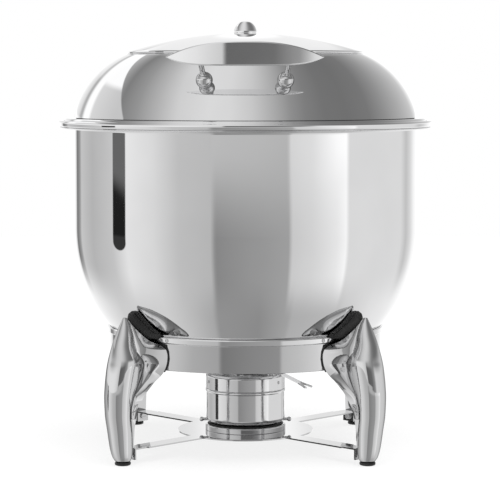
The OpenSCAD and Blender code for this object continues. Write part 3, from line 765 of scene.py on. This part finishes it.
def make_studio():
    """Soft walls, ceiling and floor. Angles are those of a surface that faces the
    front wall's middle when it mirrors that part of the studio."""
    scene = bpy.context.scene
    scene.world = bpy.data.worlds.new("studio")
    scene.world.use_nodes = True
    g = Graph(scene.world.node_tree)
    way = g.add("SeparateXYZ", {0: g.add("TexCoord").outputs["Generated"]})
    x, y, z = way.outputs
    depth = g.math("SUBTRACT", 1.0, y)
    flat = g.length(x, depth)
    azimuth = g.math("DEGREES", g.math("ARCTAN2", x, depth))
    height = g.math("DEGREES", g.math("ARCTAN2", z, flat))
    front = band(g, azimuth, [
        (-78, 250), (-75.5, 228), (-74, 110), (-70.5, 150), (-69, 194), (-60, 182), (-54, 186),
        (-48.8, 198), (-41.8, 230), (-31, 216), (-22, 189), (-11.2, 184), (-10.4, 186), (13.8, 180),
        (14.6, 212), (22, 220), (31, 250), (34.8, 255), (35.4, 214), (62, 215), (66, 190), (70, 212),
        (74, 240), (80, 255)])
    shade = band(g, azimuth, [
        (-78, 250), (-75.5, 228), (-74, 110), (-70.5, 150), (-69, 194), (-60, 178), (-48.8, 194),
        (-41.8, 226), (-31, 214), (-22, 190), (-11.2, 180), (-9.6, 134), (2, 148), (14.2, 158),
        (15.2, 200), (22, 210), (31, 230), (34.8, 246), (35.4, 215), (62, 215), (66, 190), (70, 212),
        (74, 240), (80, 255)])
    floor = band(g, azimuth, [
        (-80, 250), (-66, 230), (-52, 205), (-30, 205), (-12, 168), (-10, 146), (5, 138), (16, 160),
        (17.5, 172), (35, 186), (38, 198), (52, 222), (66, 232), (80, 250)])
    ceiling = band(g, azimuth, [
        (-80, 255), (-60, 190), (-47, 125), (-38.6, 148), (-30, 180), (-22.7, 206), (-12, 216), (-5, 214),
        (2, 200), (7, 180), (15, 142), (20, 126), (27, 114), (35, 111), (45, 118), (53, 142), (63, 170),
        (75, 196), (84, 240), (88, 255)])
    handle = band(g, azimuth, [
        (-30, 235), (-20.5, 233), (-15, 225), (-7, 202), (-5.9, 98), (2, 102), (9, 108), (12.5, 128),
        (17, 146), (19.5, 178), (22, 214), (24, 220), (60, 215), (80, 255)])
    low_wall = g.mix(shade, front, g.ease(height, -2.4, -0.9))
    # A dark upright slot in the left wall, with a round lower end
    slot_middle, slot_end = -45.3, -6.2
    across = g.math("ABSOLUTE", g.math("SUBTRACT", azimuth, slot_middle))
    below = g.math("MAXIMUM", g.math("SUBTRACT", slot_end, height), 0.0)
    slot = g.mix(tone(52), tone(30), g.ease(height, -4.6, -3.4))
    slot = g.mix(slot, tone(100), g.ease(height, -2.4, -1.9))
    low_wall = g.mix(low_wall, slot, g.ease(g.length(across, below), 3.2, 2.7))
    wall = g.mix(low_wall, handle, g.ease(height, -0.35, 0.0))
    wall = g.mix(floor, wall, g.ease(height, -34, -16))
    above = g.mix(wall, ceiling, g.ease(height, 4, 10))
    # A tall white window at the left, with a greyer lower pane
    slant = g.shift(azimuth, height, 0.31, 24)
    window = g.math("MULTIPLY", g.ease(slant, -47.0, -47.8), g.ease(height, 9, 11))
    low_pane = band(g, azimuth, [
        (-90, 250), (-75, 215), (-72.5, 172), (-71, 172), (-68.5, 252), (-64.5, 255), (-62.5, 214),
        (-48, 197)])
    high_pane = band(g, azimuth, [
        (-90, 250), (-75, 225), (-72.5, 190), (-71, 190), (-68.5, 252), (-40, 252)])
    pane = g.mix(low_pane, high_pane, g.ease(g.shift(height, azimuth, 0.2), 19, 24))
    above = g.mix(above, pane, window)
    above = g.mix(above, tone(232), g.ease(height, 60, 70))
    above = g.mix(above, tone(255), g.ease(height, 78, 83))
    # The backdrop itself is plain white
    seen = g.add("LightPath").outputs["Is Camera Ray"]
    shown = g.mix(above, 1.0, seen)
    g.add("OutputWorld", {"Surface": g.add("Background", {"Color": shown, "Strength": 1.0}).outputs[0]})


def make_floor():
    """A pale round floor that takes soft shadows, lifted so that they stay faint. The steel
    mirrors the studio instead of it."""
    material, g = new_material("studio_floor")
    place = g.add("TexCoord").outputs["Object"]
    grain = g.remap(g.noise(place, 300, 2), 0.3, 0.7, 0.89, 0.91)
    grey = g.add("CombineColor", {0: grain, 1: grain, 2: grain}).outputs[0]
    paper = g.add("BsdfDiffuse", {"Color": grey})
    lift = g.add("Emission", {"Color": grey, "Strength": 1.13})
    clear = g.add("BsdfTransparent")
    ray = g.add("LightPath").outputs
    lifted = g.add("MixShader", {0: 0.8, 1: paper.outputs[0], 2: lift.outputs[0]})
    shown = g.add("MixShader", {0: ray["Is Camera Ray"], 1: paper.outputs[0], 2: lifted.outputs[0]})
    shader = g.add("MixShader", {0: ray["Is Glossy Ray"], 1: shown.outputs[0], 2: clear.outputs[0]})
    g.add("OutputMaterial", {"Surface": shader.outputs[0]})
    radius, top, bottom = 3.0, -0.0002, -0.002
    outline = [(0, bottom), (radius, bottom), (radius, top), (0, top)]
    floor = lathe("studio_floor", outline, material, 64)


def make_light(name, tilt, strength, softness):
    """A wide overhead light; the steel's reflections come from the studio walls alone."""
    light = bpy.data.lights.new(name, "SUN")
    light.energy = strength
    light.angle = math.radians(softness)
    lamp = bpy.data.objects.new(name, light)
    lamp.rotation_euler = [math.radians(a) for a in tilt]
    lamp.visible_glossy = False
    bpy.context.scene.collection.objects.link(lamp)


def make_camera():
    camera = bpy.data.cameras.new("camera")
    camera.sensor_width = 36
    camera.lens = 148.0
    camera.clip_end = 20
    view = bpy.data.objects.new("camera", camera)
    view.location = (0.0051, -2.265, 0.4076)
    view.rotation_euler = (math.radians(90 - 4.83), 0, 0)
    bpy.context.scene.collection.objects.link(view)
    bpy.context.scene.camera = view


make_camera()
make_studio()
make_floor()
make_light("overhead", (12, 8, 0), 3.0, 50)
bpy.context.scene.view_settings.view_transform = "Standard"

make_bowl()
make_rim()
make_pot()
make_lid()
make_handle()
for leg_name, leg_direction in LEG_DIRECTIONS.items():
    make_leg(leg_name, leg_direction)
make_pads()
make_feet()
make_rings()
make_screws()
make_collar()
make_burner()
carry_over()
